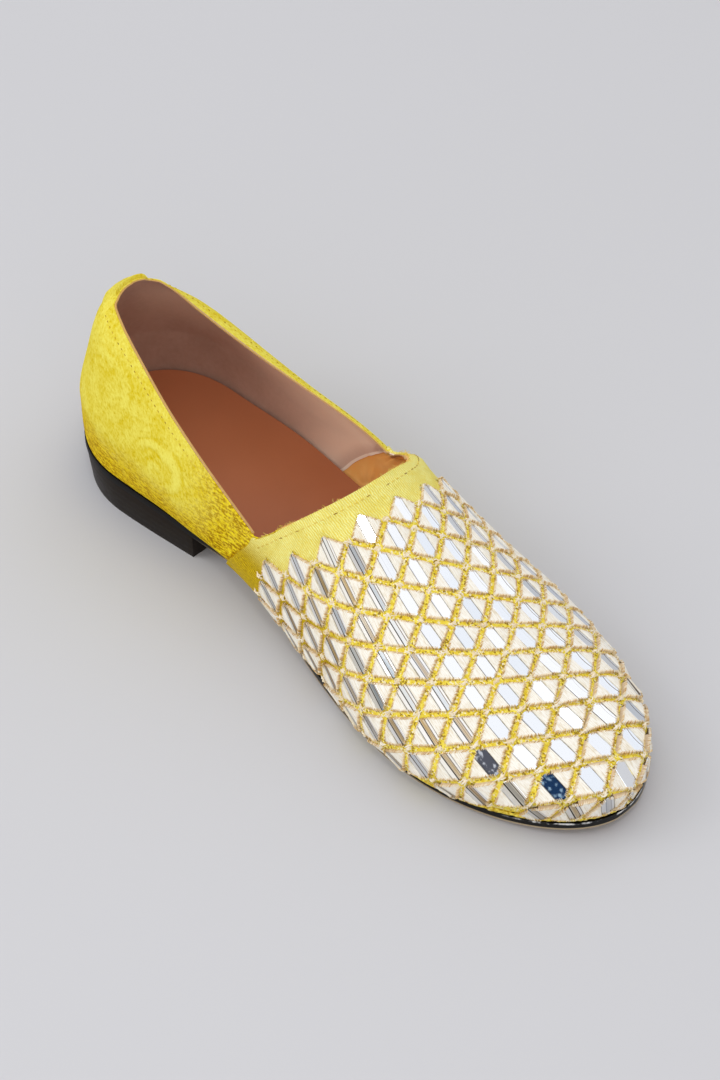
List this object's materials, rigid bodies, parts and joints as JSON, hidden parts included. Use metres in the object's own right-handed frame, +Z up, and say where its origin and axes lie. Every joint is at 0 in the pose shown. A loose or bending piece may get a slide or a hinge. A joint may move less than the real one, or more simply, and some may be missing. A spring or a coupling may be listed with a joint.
{
  "type": "slip-on slipper loafer",
  "caption": "Flat left slip-on slipper loafer with a soft textile upper, a vamp sewn with mirror diamonds, a thin leather sole and a low block heel.",
  "frame": {"origin": "middle of the bounding box on the floor plane", "axes": "+X towards the toe, +Y to the wearer's left, which is the outer side of this left shoe, +Z up"},
  "size_m": [0.2618, 0.0876, 0.0828],
  "materials": {
    "outsole": "black leather, glossy edge",
    "heel": "black stacked leather, satin",
    "insole": "smooth brown leather",
    "upper": "yellow figured velvet, satin on the vamp",
    "heel_tab": "yellow figured velvet",
    "mirror_net": "cream satin stitch beside mirror strips"
  },
  "bodies": {
    "root": {"outsole": "outsole", "heel": "heel", "insole": "insole", "upper": "upper", "heel_tab": "heel_tab", "mirror_net": "mirror_net"}
  },
  "joints": []
}
